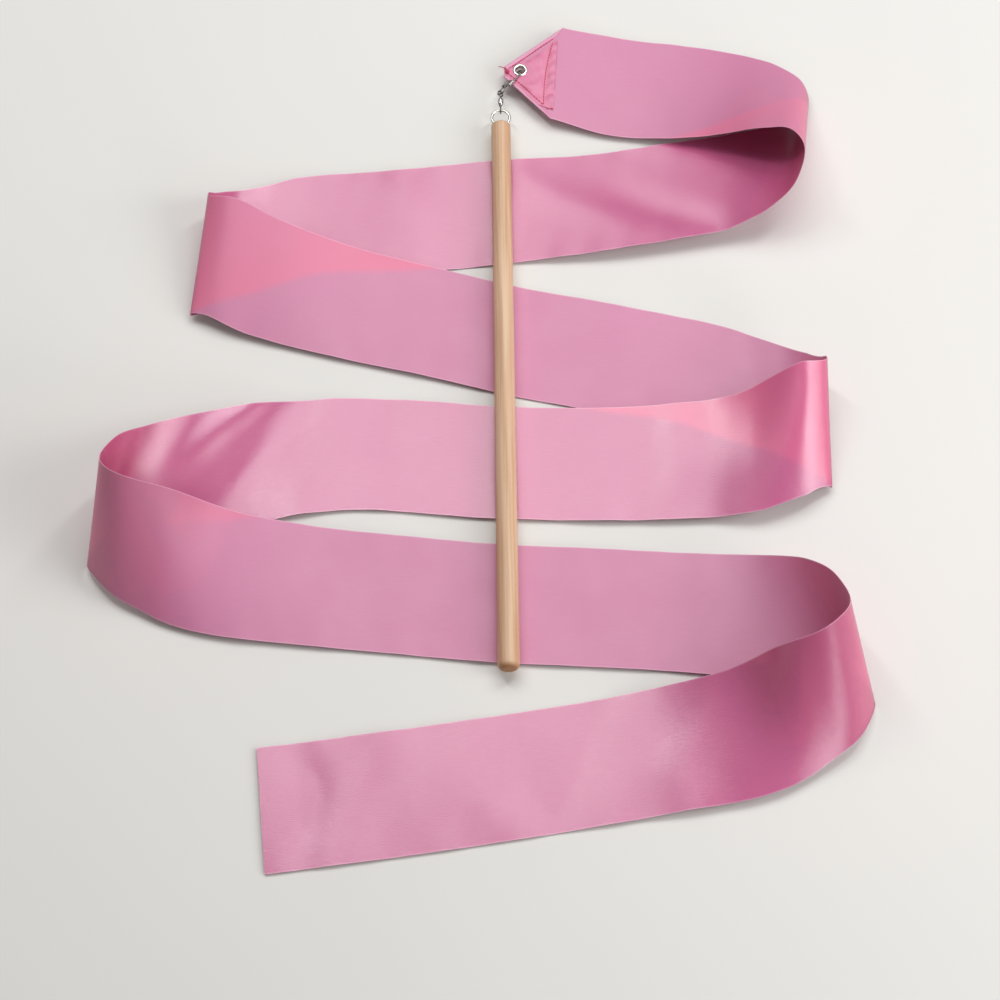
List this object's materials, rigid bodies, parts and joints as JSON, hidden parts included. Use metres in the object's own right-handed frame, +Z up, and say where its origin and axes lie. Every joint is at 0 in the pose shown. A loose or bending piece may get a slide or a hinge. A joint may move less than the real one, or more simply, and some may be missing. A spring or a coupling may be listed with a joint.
{
  "type": "rhythmic gymnastics ribbon wand",
  "caption": "Long satin ribbon with a folded, eyeletted end, clipped by a wire snap and a barrel swivel to a slim round wooden stick that lies across it.",
  "frame": {"origin": "on the surface the object lies on, under the middle of its outline", "axes": "+Z up from the surface, +Y along the stick from its butt to its ring, +X to the right of the stick"},
  "size_m": [0.3699, 0.4566, 0.0564],
  "materials": {
    "beech": "smooth turned beech, unvarnished, straight grain along the stick, slightly darker on the rounded butt",
    "bright_nickel": "bright nickel plating on drawn wire",
    "dark_nickel": "darker nickel plating on thin bent wire",
    "nickel_sheet": "stamped sheet, nickel plated",
    "eyelet_nickel": "rolled eyelet, bright nickel plating",
    "pink_satin": "satin ribbon, shiny on one face and matte on the other, woven edges, cut end",
    "red_thread": "polyester sewing thread"
  },
  "bodies": {
    "ribbon": {"ribbon": "pink_satin", "ribbon_stitching": "red_thread", "eyelet": "eyelet_nickel", "eyelet_washer": "eyelet_nickel"},
    "snap": {"snap_wire": "dark_nickel"},
    "clasp": {"snap_clasp": "nickel_sheet"},
    "upper_eye": {"swivel_upper_eye": "dark_nickel"},
    "barrel": {"swivel_barrel": "bright_nickel"},
    "lower_eye": {"swivel_lower_eye": "dark_nickel"},
    "wand": {"stick": "beech", "screw_eye": "bright_nickel"}
  },
  "joints": [
    {"name": "snap_lift", "type": "hinge", "parent": "ribbon", "child": "snap", "pos_m": [0.02448, 0.20197, 0.00652], "axis": [-0.788, 0.6157, 0], "range_deg": [0, 8]},
    {"name": "clasp_open", "type": "hinge", "parent": "snap", "child": "clasp", "pos_m": [0.01683, 0.19501, 0.00445], "axis": [-0.6157, -0.788, 0], "range_deg": [0, 30]},
    {"name": "upper_eye_swing", "type": "hinge", "parent": "snap", "child": "upper_eye", "pos_m": [0.014, 0.1873, 0.00745], "axis": [-0.7289, 0, -0.6846], "range_deg": [0, 60]},
    {"name": "barrel_spin", "type": "hinge", "parent": "upper_eye", "child": "barrel", "pos_m": [0.014, 0.1822, 0.00745], "axis": [0, 1, 0], "continuous": true},
    {"name": "lower_eye_spin", "type": "hinge", "parent": "barrel", "child": "lower_eye", "pos_m": [0.014, 0.1771, 0.00745], "axis": [0, 1, 0], "continuous": true},
    {"name": "stick_swing", "type": "hinge", "parent": "lower_eye", "child": "wand", "pos_m": [0.014, 0.1771, 0.00745], "axis": [-1, 0, 0], "range_deg": [0, 85]}
  ]
}
